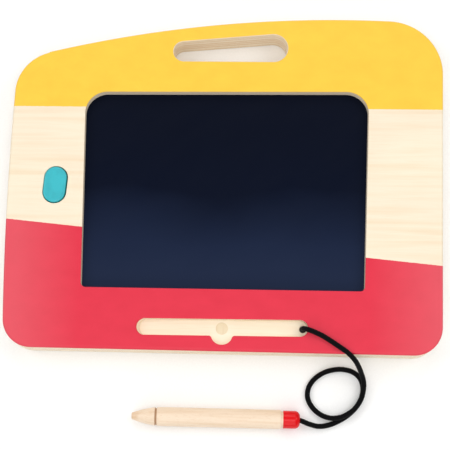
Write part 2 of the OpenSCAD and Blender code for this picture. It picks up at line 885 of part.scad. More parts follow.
module battery_door() {
    pad_h = cell_z0 - door_t - 0.1;
    color("#e9dcc0")
        difference() {
            union() {
                translate([holder_x - door_w / 2 + gap / 2, door_y0 + gap / 2, 0])
                    cube([door_w - gap, door_y1 - door_y0 - gap, door_t]);
                // Pad that keeps the cell on its contact
                translate([holder_x, holder_y, 0])
                    rod(4, 0, door_t + pad_h);
            }
            translate([holder_x, door_screw_y, 0]) {
                rod(door_screw_r + 0.2, -over, door_t + over);
                rod(door_head_r, -over, sink);
                translate([0, 0, sink])
                    cylinder(r1 = door_head_r, r2 = door_screw_r + 0.2, h = door_head_r - door_screw_r - 0.2);
            }
            // Nail groove beside the screw
            translate([holder_x - 5, door_y0 + 4, -over])
                cube([10, 1.2, over + 0.6]);
        }
}

module door_screw() {
    color("#a5a8ad")
        translate([holder_x, door_screw_y, sink])
            wood_screw(door_screw_r, door_head_r, door_screw_len);
}

module door_insert() {
    color("#c79a3f")
        translate([holder_x, door_screw_y, 0])
            difference() {
                rod(insert_r, core_z, core_z + insert_h);
                rod(door_screw_r + fit, core_z - over, core_z + insert_h + over);
            }
}

// ---- Groove and tether ----

module tray_magnet() {
    color("#ded4be")
        translate([groove_x, groove_y, 0])
            rod(magnet_d / 2, front_z - magnet_t, front_z);
}

module tether_knot() {
    color("#0b0b0f")
        translate([tether_x, groove_y, knot_z - knot_h])
            knot(knot_r, knot_h);
}

// Point of a smooth curve between b and c, a and d being their neighbours
function between(a, b, c, d, t) =
    0.5 * (2 * b + (c - a) * t + (2 * a - 5 * b + 4 * c - d) * t * t + (3 * b - a - 3 * c + d) * t * t * t);

function smooth(p, steps) = concat(
    [for (i = [0:len(p) - 2], k = [0:steps - 1])
        between(p[max(i - 1, 0)], p[i], p[i + 1], p[min(i + 2, len(p) - 1)], k / steps)],
    [p[len(p) - 1]]
);

// Sideways directions along a path, each the one before it made square to the path again
function sideways(t) = [
    for (i = 0, u = [0, 1, 0]; i < len(t); i = i + 1, u = i < len(t) ? unit(u - (u * t[i]) * t[i]) : u) u
];

// Round cord swept along a path
function cord_rings(p, r, sides) =
    let (
        n = len(p),
        t = [for (i = [0:n - 1]) unit(p[min(i + 1, n - 1)] - p[max(i - 1, 0)])],
        u = sideways(t)
    )
    [for (i = [0:n - 1]) let (v = cross(t[i], u[i]))
        [for (k = [0:sides - 1]) let (a = 360 * k / sides) p[i] + r * (cos(a) * u[i] + sin(a) * v)]];

module tether_cord() {
    color("#0b0b0f")
        skin(cord_rings(smooth(tether_route, rings_per_point), cord_d / 2, 8));
}

// ---- Stylus ----

// Point on the swelling nose, from the tip's edge at 0 to the ring at 1
function nose(t) = [
    tip_r + (cone_r - tip_r) * t + nose_swell * 4 * t * (1 - t), 0.6 + (cone_len - 0.6) * t
];

module stylus_barrel() {
    belly = cone_len + ring_w;
    shoulder = barrel_len - neck_len;
    color("#f0dcbc")
        on_stylus()
            difference() {
                rotate_extrude()
                    polygon(concat(
                        [[0, 0]],
                        arc([tip_r - 0.6, 0.6], 0.6, -90, -15, 5),
                        [for (i = [1:7]) nose(i / 7)],
                        [[cone_r - ring_depth, cone_len + ring_w * 0.3]],
                        [[cone_r - ring_depth, cone_len + ring_w * 0.7]],
                        [for (i = [0:5]) [barrel_r - (barrel_r - cone_r) * cos(18 * i), belly + i]],
                        [[barrel_r, shoulder - 0.5], [barrel_r - 0.5, shoulder]],
                        [[neck_r, shoulder], [neck_r, barrel_len], [0, barrel_len]]
                    ));
                rod(spigot_r + fit, barrel_len - spigot_len - 0.4, barrel_len + over);
                rod(core_r + fit, core_at, barrel_len);
            }
}

module stylus_core() {
    color("#8d9096")
        on_stylus()
            rod(core_r, core_at, core_at + core_len);
}

module stylus_cap() {
    seat = stylus_len - cap_wall;
    color("#e81f28")
        on_stylus()
            difference() {
                rotate_extrude()
                    polygon(concat(
                        [[0, barrel_len - spigot_len], [spigot_r, barrel_len - spigot_len]],
                        [[spigot_r, barrel_len], [cap_r - 0.3, barrel_len], [cap_r, barrel_len + 0.3]],
                        arc([cap_r - dome_r, stylus_len - dome_r], dome_r, 0, 90, 8),
                        [[0, stylus_len]]
                    ));
                rod(cavity_r, barrel_len - spigot_len - over, seat);
                rod(cord_hole_d / 2, seat - over, stylus_len + over);
            }
}

module cap_knot() {
    color("#0b0b0f")
        on_stylus()
            translate([0, 0, stylus_len - cap_wall - cap_knot_h])
                knot(cap_knot_r, cap_knot_h);
}

front_panel();
core_frame();
back_panel();
panel_screws();
lcd_screen();
screen_gasket();
screen_tray();
screen_tail();
control_board();
board_parts();
board_screws();
tact_switch();
switch_dome();
switch_plunger();
erase_button();
battery_holder();
contact_plus();
contact_minus();
coin_cell();
battery_door();
door_screw();
door_insert();
tray_magnet();
tether_knot();
tether_cord();
stylus_barrel();
stylus_core();
stylus_cap();
cap_knot();
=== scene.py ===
import math
import bpy
import numpy as np
from mathutils import Matrix, Vector
from mathutils.geometry import tessellate_polygon


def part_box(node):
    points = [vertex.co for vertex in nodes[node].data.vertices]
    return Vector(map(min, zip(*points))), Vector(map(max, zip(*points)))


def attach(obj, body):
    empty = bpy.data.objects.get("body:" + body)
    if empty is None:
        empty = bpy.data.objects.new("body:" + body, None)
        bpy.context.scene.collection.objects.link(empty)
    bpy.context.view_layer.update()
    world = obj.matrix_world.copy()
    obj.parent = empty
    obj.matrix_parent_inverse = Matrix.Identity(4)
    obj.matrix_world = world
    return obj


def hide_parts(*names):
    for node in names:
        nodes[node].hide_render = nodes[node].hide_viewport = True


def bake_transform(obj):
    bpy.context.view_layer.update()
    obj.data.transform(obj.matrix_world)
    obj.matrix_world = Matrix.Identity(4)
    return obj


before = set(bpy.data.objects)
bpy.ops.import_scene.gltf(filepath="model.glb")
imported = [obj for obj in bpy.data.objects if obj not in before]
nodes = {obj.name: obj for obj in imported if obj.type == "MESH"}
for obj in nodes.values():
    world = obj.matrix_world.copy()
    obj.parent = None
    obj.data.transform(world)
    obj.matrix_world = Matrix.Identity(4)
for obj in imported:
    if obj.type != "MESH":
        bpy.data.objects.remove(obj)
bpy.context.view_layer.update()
mm = 0.001  # the dictionaries below are in millimetres, as the part's source is

# View

view = {
    "place": (0.0062, -0.1874, 0.7512),  # metres
    "tip": 12.247,
    "lean": 0.522,
    "roll": 0.714,
    "lens": 96.0,
    "sensor": 36.0,
}


def makeCamera(v):
    lens = bpy.data.cameras.new("viewCamera")
    lens.lens = v["lens"]
    lens.sensor_width = v["sensor"]
    camera = bpy.data.objects.new("viewCamera", lens)
    bpy.context.scene.collection.objects.link(camera)
    turn = (
        Matrix.Rotation(math.radians(v["tip"]), 4, "X")
        @ Matrix.Rotation(math.radians(v["lean"]), 4, "Y")
        @ Matrix.Rotation(math.radians(v["roll"]), 4, "Z")
    )
    camera.matrix_world = Matrix.Translation(v["place"]) @ turn
    bpy.context.scene.camera = camera


makeCamera(view)
bpy.context.scene.view_settings.view_transform = "Standard"
print("view set")

# Mesh helpers


def newPiece(name, points, faces, body, stands, slot, sharp=35.0):
    mesh = bpy.data.meshes.new(name)
    mesh.from_pydata((np.asarray(points) * mm).tolist(), [], faces)
    mesh.update()
    mesh.polygons.foreach_set("use_smooth", np.ones(len(mesh.polygons), bool))
    mesh.set_sharp_from_angle(angle=math.radians(sharp))
    piece = bpy.data.objects.new(name, mesh)
    bpy.context.scene.collection.objects.link(piece)
    if body:
        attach(piece, body)
    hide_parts(*stands)
    return piece


# Quads between neighbouring rings of a closed path; inward turns them towards the path's middle
def stitch(first, count, rings, inward):
    i = np.arange(count)
    j = (i + 1) % count
    row = first + np.arange(rings - 1)[:, None] * count
    around = [row + i, row + j, row + count + j, row + count + i]
    return np.stack(around if inward else around[::-1], axis=2).reshape(-1, 4).tolist()


# Triangles that fill the flat face between an outer ring and the rings of its holes
def fill(points, rings, up):
    index = np.concatenate(rings)
    tris = index[np.array(tessellate_polygon([[Vector(p) for p in points[r]] for r in rings]))]
    a, b, c = (points[tris[:, k], :2] for k in range(3))
    ab, ac = b - a, c - a
    area = ab[:, 0] * ac[:, 1] - ab[:, 1] * ac[:, 0]
    turned = (area > 0) != up
    tris[turned] = tris[turned][:, ::-1]
    return tris[np.abs(area) > 1e-9].tolist()


# A plate between two flat faces. Each boundary is a path function of (how far it is set back, height), its
# rings (height, set back) from the top down, and whether it goes through. One that doesn't ends in a floor
def plate(boundaries):
    parts, faces, tops, feet, floors, count = [], [], [], [], [], 0
    for k, (shape, rings, through) in enumerate(boundaries):
        loops = [np.column_stack([p, np.full(len(p), z)]) for z, back in rings for p in [shape(back, z)]]
        size = len(loops[0])
        faces += stitch(count, size, len(loops), k > 0)
        tops.append(np.arange(count, count + size))
        count += size * len(loops)
        (feet if through else floors).append(np.arange(count - size, count))
        parts += loops
    points = np.concatenate(parts)
    faces += fill(points, tops, True) + fill(points, feet, False)
    for ring in floors:
        faces += fill(points, [ring], True)
    return points, faces


# A closed path of arcs (centre, radius, first angle, last angle, steps), moved outwards by grow along its own
# normal: a hollow corner, whose arc turns the other way, loses that radius
def path(arcs, grow=0.0):
    parts = []
    for centre, radius, first, last, steps in arcs:
        turn = np.radians(np.linspace(first, last, steps + 1))
        reach = radius + grow if last > first else radius - grow
        parts.append(np.asarray(centre) + reach * np.column_stack([np.cos(turn), np.sin(turn)]))
    points = np.concatenate(parts)
    return points[np.linalg.norm(points - np.roll(points, 1, axis=0), axis=1) > 1e-5]


# Arcs of an anticlockwise polygon with rounded corners, hollow ones too
def rounded(points, radii, steps=16):
    points = np.asarray(points, float)
    arcs = []
    for i, radius in enumerate(radii):
        b = points[i]
        u, v = points[i - 1] - b, points[(i + 1) % len(points)] - b
        u, v = u / np.linalg.norm(u), v / np.linalg.norm(v)
        half = math.acos(u @ v) / 2
        centre = b + (u + v) / np.linalg.norm(u + v) * radius / math.sin(half)
        a, c = b + u * radius / math.tan(half) - centre, b + v * radius / math.tan(half) - centre
        first = math.degrees(math.atan2(a[1], a[0]))
        sweep = (math.degrees(math.atan2(c[1], c[0])) - first + 180) % 360 - 180
        arcs.append((centre, radius, first, first + sweep, steps))
    return arcs


def circle(x, y, radius, steps=48):
    return [((x, y), radius, 0, 360 * (1 - 1 / steps), steps - 1)]


def box(x0, y0, x1, y1, radius=0.6):
    return rounded([(x0, y0), (x1, y0), (x1, y1), (x0, y1)], [radius] * 4, 4)


# Quarter-round edge from the flat face at z down its wall, with a narrow flat ring first that keeps the
# face's shading level
def topEdge(z, edge, steps=6):
    turn = np.radians(np.linspace(90, 0, steps + 1))
    rounding = np.column_stack([z - edge * (1 - np.sin(turn)), edge * (1 - np.cos(turn))])
    return [(z, edge + 0.25)] + rounding.tolist()


def footEdge(z, edge, steps=6):
    return [(2 * z - height, back) for height, back in reversed(topEdge(z, edge, steps))]


print("mesh helpers ready")

# Tether

tether = {
    "route": [
        (48.2, -92.8, 10.6), (48.2, -92.8, 17.8), (49.2, -93.1, 21), (52, -94.2, 23.2),
        (56.6, -96, 22.8), (61.6, -98.4, 21.8), (71.6, -104.9, 21.6), (76, -108.2, 21.4),
        (79.8, -111.9, 19), (82.6, -115.6, 14.4), (84.6, -119, 9.4), (86, -122.4, 6.2),
        (86.4, -126.6, 5.1), (85, -133.4, 5), (81.4, -139.4, 5), (77.1, -143, 5),
        (72, -145.4, 4.8), (66.6, -146, 3.7), (61.4, -144.6, 2.2), (56.8, -141.6, 1.7),
        (53.4, -137.4, 1.7), (51.8, -132.6, 1.7), (52.6, -127.2, 1.7), (56, -122.2, 1.7),
        (61.2, -118.4, 1.7), (67.2, -116.3, 1.7), (73.6, -115.8, 1.7), (79.8, -117.3, 1.7),
        (84.4, -121.2, 1.7), (86.2, -127, 1.7), (85.2, -133.2, 1.7), (82, -138.8, 1.7),
        (77, -143.8, 1.7), (71, -147.6, 1.7), (64.6, -150.2, 1.9), (58.2, -151, 3),
        (52, -149.6, 4.7), (47.6, -147.9, 5.6), (43.2, -147.4, 5.8),
    ],
    "diameter": 3.2,
    "step": 0.4,  # between rings
    "sides": 32,
    "strands": 8,  # in each direction round the braid
    "pitch": 9.0,  # length in which a strand goes once round
    "relief": 0.13,
    "liftFrom": (0.0696, -0.130, 0.005),  # metres; the cord follows the board up to here
    "liftTo": (0.0476, -0.1485, 0.005),  # and the stylus from here on
}


# Catmull-Rom curve through the route's points, cut again into even steps of its own length
def smoothRoute(route, step):
    p = np.asarray(route, float)
    p = np.concatenate([p[:1], p, p[-1:]])
    t = np.linspace(0, 1, 24, endpoint=False)[None, :, None]
    a, b, c, d = p[:-3, None], p[1:-2, None], p[2:-1, None], p[3:, None]
    fine = 0.5 * (2 * b + (c - a) * t + (2 * a - 5 * b + 4 * c - d) * t**2 + (3 * b - a - 3 * c + d) * t**3)
    fine = np.concatenate([fine.reshape(-1, 3), p[-1:]])
    along = np.concatenate([[0], np.cumsum(np.linalg.norm(np.diff(fine, axis=0), axis=1))])
    at = np.linspace(0, along[-1], int(along[-1] / step) + 1)
    return np.column_stack([np.interp(at, along, fine[:, k]) for k in range(3)]), at


# Sideways direction at each ring: the one before it, made square to the path again
def sideways(tangent):
    side = [np.array([0.0, 1.0, 0.0])]
    for t in tangent:
        u = side[-1] - (side[-1] @ t) * t
        side.append(u / np.linalg.norm(u))
    return np.array(side[1:])


# Braided cord: a tube on the route whose radius rises by the higher of two sets of strands, one wound each
# way. A strand's height at angle a and length s is the cosine of strands * (a + or - turns * s)
def makeTether(c):
    line, at = smoothRoute(c["route"], c["step"])
    tangent = np.gradient(line, axis=0)
    tangent /= np.linalg.norm(tangent, axis=1)[:, None]
    u = sideways(tangent)
    v = np.cross(tangent, u)
    angle = np.linspace(0, 2 * np.pi, c["sides"], endpoint=False)[None, :]
    wind = 2 * np.pi * at[:, None] / c["pitch"]
    strand = np.maximum(np.cos(c["strands"] / 2 * (angle + wind)), np.cos(c["strands"] / 2 * (angle - wind)))
    radius = c["diameter"] / 2 - c["relief"] * (0.5 - 0.5 * strand)
    rings = line[:, None] + radius[..., None] * (
        np.cos(angle)[..., None] * u[:, None] + np.sin(angle)[..., None] * v[:, None]
    )
    size, count = c["sides"], len(line)
    points = np.concatenate([rings.reshape(-1, 3), line[:1], line[-1:]])
    faces = stitch(0, size, count, True)
    i = np.arange(size)
    j = (i + 1) % size
    last = (count - 1) * size
    faces += np.column_stack([j, i, np.full(size, count * size)]).tolist()
    faces += np.column_stack([last + i, last + j, np.full(size, count * size + 1)]).tolist()
    piece = newPiece("cordTube", points, faces, None, ["tether_cord"], "black_cord", 80)
    # Map of the surface: once round across, millimetres along
    across = np.stack([i, i + 1, i + 1, i], axis=1)[None] / size
    along = np.stack([at[:-1], at[:-1], at[1:], at[1:]], axis=1)[:, None]
    across, along = np.broadcast_arrays(across, along)
    quads = np.stack([across, along], axis=-1).reshape(-1, 2)
    ends = np.zeros((2 * size * 3, 2))
    layer = piece.data.uv_layers.new(name="winding")
    layer.data.foreach_set("uv", np.concatenate([quads, ends]).astype(np.float32).ravel())
    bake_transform(piece)
    print("tether made,", round(float(at[-1]), 1), "mm long")
    return piece


cordTube = makeTether(tether)

# Board

board = {
    "width": 275.6, "height": 217.0,
    "coreZ": 4.0, "frontZ": 14.0, "topZ": 20.0,
    "edge": 1.5, "rim": 1.0, "cutEdge": 0.4,
    "topRadius": 760.0, "crownX": 74.6,
    "leftRadius": 28.0, "rightRadius": 35.0, "lowRadius": 18.0,
    "sideLean": 1.4, "footFall": 0.5, "bowRadius": 2000.0, "bowY": -20.0,
    "screwR": 1.4, "screwHeadR": 3.0, "screwInset": 9.0, "screwSink": 0.3,
    "aboveScrew": 9.0, "underPocket": 10.0,  # from the top left corner's centre and the pocket to the screws
    "gap": 0.4,  # round the parts that drop into the core and the back
    "doorLedge": 1.0, "doorT": 2.0, "doorGap": 0.3,
}
slotCut = {"x": 0.2, "length": 57.7, "left": 6.6, "right": 9.15, "rise": 2.8, "drop": 22.9}
windowCut = {
    "x": -0.3, "y": -5.0, "width": 181.0, "height": 128.8, "fall": 0.6, "footFall": 0.2,
    "leanLeft": 0.7, "leanRight": 1.8, "topR": 14.0, "lowR": 3.0,
}
grooveCut = {
    "x": -1.7, "up": 15.7, "length": 105.8, "width": 10.2, "ramp": 2.3,
    "mouth": 13.4, "foot": 9.4, "depth": 5.5, "mouthR": 1.9, "footR": 6.3,
    "tetherX": 48.2, "tetherR": 2.1, "knotZ": 10.5, "knotRoom": 2.1, "magnetR": 3.82, "magnetDepth": 3.0,
}
button = {
    "x": -107.8, "y": -4.0, "length": 23.0, "width": 14.0, "lean": 4.5, "clear": 0.5,
    "set": (-0.25, 0.15),  # how far the cap has settled off the middle of its hole
    "topZ": 20.5, "edge": 1.0, "flange": 1.2, "postR": 2.5, "post": 0.5,
}


# Arcs of the lopsided outline: a flat crown whose highest point is right of the middle, a leaning right side
# and a slowly bowed left one
def outlineArcs(b):
    crown = np.array([b["crownX"], b["height"] / 2 - b["topRadius"]])
    lean, fall = math.radians(b["sideLean"]), math.tan(math.radians(b["footFall"]))

    def onCrown(x, r):
        return np.array([x, crown[1] + math.sqrt((b["topRadius"] - r) ** 2 - (x - crown[0]) ** 2)])

    bow = np.array([b["bowRadius"] - b["width"] / 2, b["bowY"]])

    def onBow(y, r):
        return np.array([bow[0] - math.sqrt((b["bowRadius"] - r) ** 2 - (y - bow[1]) ** 2), y])

    topRight = onCrown(b["width"] / 2 - b["rightRadius"], b["rightRadius"])
    topLeft = onBow(onCrown(b["leftRadius"] - b["width"] / 2, b["leftRadius"])[1], b["leftRadius"])
    start = topRight + (b["rightRadius"] - b["lowRadius"]) * np.array([math.cos(lean), -math.sin(lean)])
    lowY = b["lowRadius"] - b["height"] / 2
    lowRight = (start[0] - (start[1] - lowY) * math.tan(lean), lowY)
    lowLeft = onBow(lowY + (b["width"] - 2 * b["lowRadius"]) * fall, b["lowRadius"])
    upper = 180 - math.degrees(math.asin((topLeft[1] - bow[1]) / (b["bowRadius"] - b["leftRadius"])))
    lower = 180 + math.degrees(math.asin((bow[1] - lowLeft[1]) / (b["bowRadius"] - b["lowRadius"])))
    right = math.degrees(math.atan2(*(topRight - crown)[::-1]))
    left = math.degrees(math.atan2(*(topLeft - crown)[::-1]))
    return [
        (lowRight, b["lowRadius"], -90 - b["footFall"], -b["sideLean"], 48),
        (topRight, b["rightRadius"], -b["sideLean"], right, 48),
        (crown, b["topRadius"], right, left, 60),
        (topLeft, b["leftRadius"], left, upper, 48),
        (bow, b["bowRadius"], upper, lower, 16),
        (lowLeft, b["lowRadius"], lower, 270 - b["footFall"], 48),
    ]


# Two circles and their outer tangents
def slotArcs(b, s):
    rise = math.radians(s["rise"])
    a = np.array([-s["length"] / 2 * math.cos(rise) + s["x"], b["height"] / 2 - s["drop"]])
    c = a + s["length"] * np.array([math.cos(rise), math.sin(rise)])
    flare = math.degrees(math.asin((s["right"] - s["left"]) / s["length"]))
    return [
        (c, s["right"], s["rise"] - 90 - flare, s["rise"] + 90 + flare, 48),
        (a, s["left"], s["rise"] + 90 + flare, s["rise"] + 270 - flare, 48),
    ]


def windowArcs(w):
    x0, y0 = w["x"] - w["width"] / 2, w["y"] - w["height"] / 2
    x1, y1 = x0 + w["width"], y0 + w["height"]
    fall, footFall, left, right = (
        math.tan(math.radians(w[key])) for key in ("fall", "footFall", "leanLeft", "leanRight")
    )
    spots = [
        (x0 + w["height"] * left, y0 + w["width"] * footFall), (x1 - w["height"] * right, y0),
        (x1, y1), (x0, y1 - w["width"] * fall),
    ]
    return rounded(spots, [w["lowR"], w["lowR"], w["topR"], w["topR"]], 24)


# Round-ended groove with a thumb notch in its lower side; shift moves the left end, whose wall slopes
def grooveArcs(b, g, shift):
    r, y = g["width"] / 2, g["up"] - b["height"] / 2
    left, right = g["x"] - g["length"] / 2 + r + shift, g["x"] + g["length"] / 2 - r
    side, low = g["mouth"] / 2 + 3, y - r
    spots = [
        (g["x"] - side, low), (g["x"] - g["mouth"] / 2, low), (g["x"] - g["foot"] / 2, low - g["depth"]),
        (g["x"] + g["foot"] / 2, low - g["depth"]), (g["x"] + g["mouth"] / 2, low), (g["x"] + side, low),
        (g["x"] + side, y), (g["x"] - side, y),
    ]
    notch = rounded(spots, [1, g["mouthR"], g["footR"], g["footR"], g["mouthR"], 1, 1, 1], 14)[1:5]
    return [((right, y), r, -90, 90, 40), ((left, y), r, 90, 270, 40)] + notch


def place(points, x, y, turn):
    c, s = math.cos(math.radians(turn)), math.sin(math.radians(turn))
    return points @ np.array([[c, s], [-s, c]]) + (x, y)


def buttonPath(b, grow):
    reach, half = b["width"] / 2, (b["length"] - b["width"]) / 2
    arcs = [((0, half), reach, 0, 180, 40), ((0, -half), reach, 180, 360, 40)]
    return place(path(arcs, grow), b["x"], b["y"], -b["lean"])


outline, slotLine, windowLine = outlineArcs(board), slotArcs(board, slotCut), windowArcs(windowCut)
centreTr, centreTl, centreBl = outline[1][0], outline[3][0], outline[5][0]
grooveY = grooveCut["up"] - board["height"] / 2


def makeFront(b, g):
    def ramp(z):
        return g["ramp"] * (b["topZ"] - z) / (b["topZ"] - b["frontZ"])

    wall = [(b["frontZ"], 0)]
    cut = topEdge(b["topZ"], b["cutEdge"], 4) + wall
    points, faces = plate([
        (lambda back, z: path(outline, -back), topEdge(b["topZ"], b["edge"]) + wall, True),
        (lambda back, z: path(slotLine, back), topEdge(b["topZ"], b["rim"]) + wall, True),
        (lambda back, z: path(windowLine, back), cut, True),
        (lambda back, z: path(grooveArcs(b, g, ramp(z)), back), cut, True),
        (lambda back, z: buttonPath(button, button["clear"] + back), cut, True),
    ])
    return newPiece("frontPly", points, faces, "board", ["front_panel"], "painted_plywood")


# Rounded rectangle round a node's plan, a gap away from it
def around(node, gap):
    low, high = (np.array(corner[:2]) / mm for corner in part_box(node))
    return box(*(low - gap), *(high + gap))


def makeCore(b, g):
    wall = [(b["frontZ"], 0), (b["coreZ"], 0)]
    bay, pocket = around("screen_tray", b["gap"]), around("control_board", b["gap"])
    magnet = circle(g["x"], grooveY, g["magnetR"])
    hole = circle(g["tetherX"], grooveY, g["tetherR"])
    knot = [(b["frontZ"], 0.3), (b["frontZ"] - 0.3, 0), (g["knotZ"], 0), (g["knotZ"], g["knotRoom"])]
    points, faces = plate([
        (lambda back, z: path(outline, -back), wall, True),
        (lambda back, z: path(slotLine, back), wall, True),
        (lambda back, z: path(bay, back), wall, True),
        (lambda back, z: path(pocket, back), wall, True),
        (lambda back, z: path(hole, back), knot + [(b["coreZ"], g["knotRoom"])], True),
        (lambda back, z: path(magnet, back), [(b["frontZ"], 0), (b["frontZ"] - g["magnetDepth"], 0)], False),
    ])
    return newPiece("coreBoard", points, faces, "board", ["core_frame"], "core_plywood")


def makeBack(b):
    inset, low = b["screwInset"], outline[0][0][1]
    pocketFoot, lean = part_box("control_board")[0][1] / mm - b["gap"], math.radians(b["sideLean"])

    def sideX(y):
        return centreTr[0] + b["rightRadius"] / math.cos(lean) - (centreTr[1] - y) * math.tan(lean)

    film = [np.array(p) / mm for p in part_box("lcd_screen")]
    slotFoot = slotLine[1][0][1] - slotCut["left"]
    spots = [
        (inset - b["width"] / 2, centreTl[1] - b["aboveScrew"]),
        (inset - b["width"] / 2, pocketFoot - b["underPocket"]),
        (inset - b["width"] / 2, centreBl[1]), (sideX(centreTr[1]) - inset, centreTr[1]),
        (sideX(windowCut["y"]) - inset, windowCut["y"]), (sideX(low) - inset, low),
        (windowCut["x"], (film[1][1] + slotFoot) / 2),
        (windowCut["x"], (film[0][1] + grooveY + grooveCut["width"] / 2) / 2),
    ]
    hatch, door = around("battery_holder", b["gap"]), around("battery_door", b["doorGap"])
    hatchRings = [(b["coreZ"], 0), (b["doorT"], 0), (b["doorT"], b["doorLedge"]), (0, b["doorLedge"])]
    headTop, headFlare = b["screwSink"] + b["screwHeadR"] - b["screwR"], 1.5
    sink = [(b["coreZ"], 0), (headTop, 0), (b["screwSink"], headFlare), (0, headFlare)]
    boundaries = [
        (lambda back, z: path(outline, -back), [(b["coreZ"], 0)] + footEdge(0, b["edge"]), True),
        (lambda back, z: path(slotLine, back), [(b["coreZ"], 0)] + footEdge(0, b["rim"]), True),
        (lambda back, z: path(door if back else hatch), hatchRings, True),
    ]
    for x, y in spots:
        line = circle(x, y, b["screwR"] + 0.15, 32)
        boundaries.append((lambda back, z, line=line: path(line, back), sink, True))
    points, faces = plate(boundaries)
    return newPiece("backPly", points, faces, "board", ["back_panel"], "back_plywood")


frontPly = makeFront(board, grooveCut)
coreBoard = makeCore(board, grooveCut)
backPly = makeBack(board)
print("board made")


# Erase button: the cap, its flange under the panel and the post that presses the switch


def makeButton(b):
    def shape(back, z):
        middle = np.array([b["x"], b["y"]]) + b["set"]
        line = buttonPath(b, -back) + b["set"]
        if back < 5:
            return line
        out = line - middle
        return middle + out / np.linalg.norm(out, axis=1)[:, None] * b["postR"]

    inner = board["frontZ"]
    foot = inner - b["flange"]
    rings = topEdge(b["topZ"], b["edge"], 8) + [(inner, 0), (inner, -b["flange"]), (foot, -b["flange"])]
    points, faces = plate([(shape, rings + [(foot, 6), (foot - b["post"], 6)], True)])
    return newPiece("buttonCap", points, faces, "button", ["erase_button"], "teal_plastic")


buttonCap = makeButton(button)
print("button made")

# Stylus

stylus = {
    "tip": (-56.4, -146.35, 5.8), "turn": -0.6, "length": 103.3, "steps": 96,
    "barrelR": 5.8, "tipR": 2.1, "noseR": 5.55, "swell": 0.45, "cone": 14.4, "ring": 1.1, "ringDepth": 0.5,
    "capLength": 10.3, "capR": 5.45, "neck": 1.3, "neckR": 4.9, "holeR": 2.1,
    "spigot": 13.0, "spigotR": 3.9, "cavityR": 3.0, "capWall": 3.8,
    "flare": 5.0,  # length behind the ring over which the barrel reaches its full radius
}


# Surface of revolution: each profile point (distance along the axis, radius) carried round the axis. A hollow
# one closes on its first ring, the others have a pole at each end
def turned(profile, s, hollow=False):
    profile = np.asarray(profile, float)
    turn = math.radians(s["turn"])
    axis = np.array([math.cos(turn), math.sin(turn), 0])
    side = np.array([-math.sin(turn), math.cos(turn), 0])
    angle = np.linspace(0, 2 * np.pi, s["steps"], endpoint=False)[None, :, None]
    out = np.cos(angle) * side + np.sin(angle) * np.array([0, 0, 1])
    rings = np.array(s["tip"]) + profile[:, :1, None] * axis + profile[:, 1:, None] * out
    size, count = s["steps"], len(profile)
    faces = stitch(0, size, count, True)
    if hollow:
        total = size * count
        faces += [[k % total for k in face] for face in stitch(total - size, size, 2, True)]
        return rings.reshape(-1, 3), faces
    ends = np.array(s["tip"]) + profile[[0, -1], :1] * axis
    points = np.concatenate([rings.reshape(-1, 3), ends])
    i = np.arange(size)
    j, last = (i + 1) % size, (count - 1) * size
    faces += np.column_stack([j, i, np.full(size, count * size)]).tolist()
    faces += np.column_stack([last + i, last + j, np.full(size, count * size + 1)]).tolist()
    return points, faces


def bend(s, r, radius, first, last, steps=8):
    turn = np.radians(np.linspace(first, last, steps + 1))
    return np.column_stack([s + radius * np.sin(turn), r + radius * np.cos(turn)]).tolist()


# The nose's radius is a straight taper plus swell * 4t(1 - t), t being the share of the way to the ring
def makeBarrel(s):
    end = s["length"] - s["capLength"]
    shoulder, belly, socket = end - s["neck"], s["cone"] + s["ring"], end - s["spigot"] - 0.4
    t = np.linspace(0, 1, 25)[1:]
    nose = s["tipR"] + (s["noseR"] - s["tipR"]) * t + s["swell"] * 4 * t * (1 - t)
    swell = np.linspace(0, 1, 12)
    flare = s["barrelR"] - (s["barrelR"] - s["noseR"]) * (1 - swell) ** 2
    floor = s["noseR"] - s["ringDepth"]
    profile = (
        [(0, 0.5)]
        + bend(0.6, s["tipR"] - 0.6, 0.6, -90, -15)
        + np.column_stack([0.6 + (s["cone"] - 0.6) * t, nose]).tolist()
        + [(s["cone"] + 0.25, floor), (belly - 0.25, floor)]
        + np.column_stack([belly + s["flare"] * swell, flare]).tolist()
        + [(shoulder - 0.6, s["barrelR"])]
        + bend(shoulder - 0.5, s["barrelR"] - 0.5, 0.5, 0, 90)
        + [(shoulder, s["neckR"]), (end, s["neckR"]), (end, s["spigotR"] + 0.1)]
        + [(socket, s["spigotR"] + 0.1), (socket, 0.5)]
    )
    return newPiece(
        "penBarrel", *turned(profile, s), "stylus", ["stylus_barrel", "stylus_core"], "stylus_wood", 50
    )


def makeCap(s):
    start, seat = s["length"] - s["capLength"], s["length"] - s["capWall"]
    foot, dome = start - s["spigot"], s["capR"] - s["holeR"]
    profile = (
        [(foot, s["cavityR"]), (foot, s["spigotR"]), (start, s["spigotR"])]
        + bend(start + 0.35, s["capR"] - 0.35, 0.35, -90, 0)
        + [(start + 2, s["capR"])]
        + bend(s["length"] - dome, s["capR"] - dome, dome, 0, 84, 14)
        + bend(s["length"] - 0.3, s["holeR"] + 0.28, 0.3, 20, 200, 6)
        + [(seat, s["holeR"]), (seat, s["cavityR"])]
    )
    return newPiece("penCap", *turned(profile, s, True), "stylus", ["stylus_cap"], "red_plastic", 50)


penBarrel = makeBarrel(stylus)
penCap = makeCap(stylus)
print("stylus made")

# Material helpers


def linear(colour):
    c = np.array([int(colour[i : i + 2], 16) for i in (1, 3, 5)]) / 255
    c = np.where(c <= 0.04045, c / 12.92, ((c + 0.055) / 1.055) ** 2.4)
    return (*c.tolist(), 1.0)


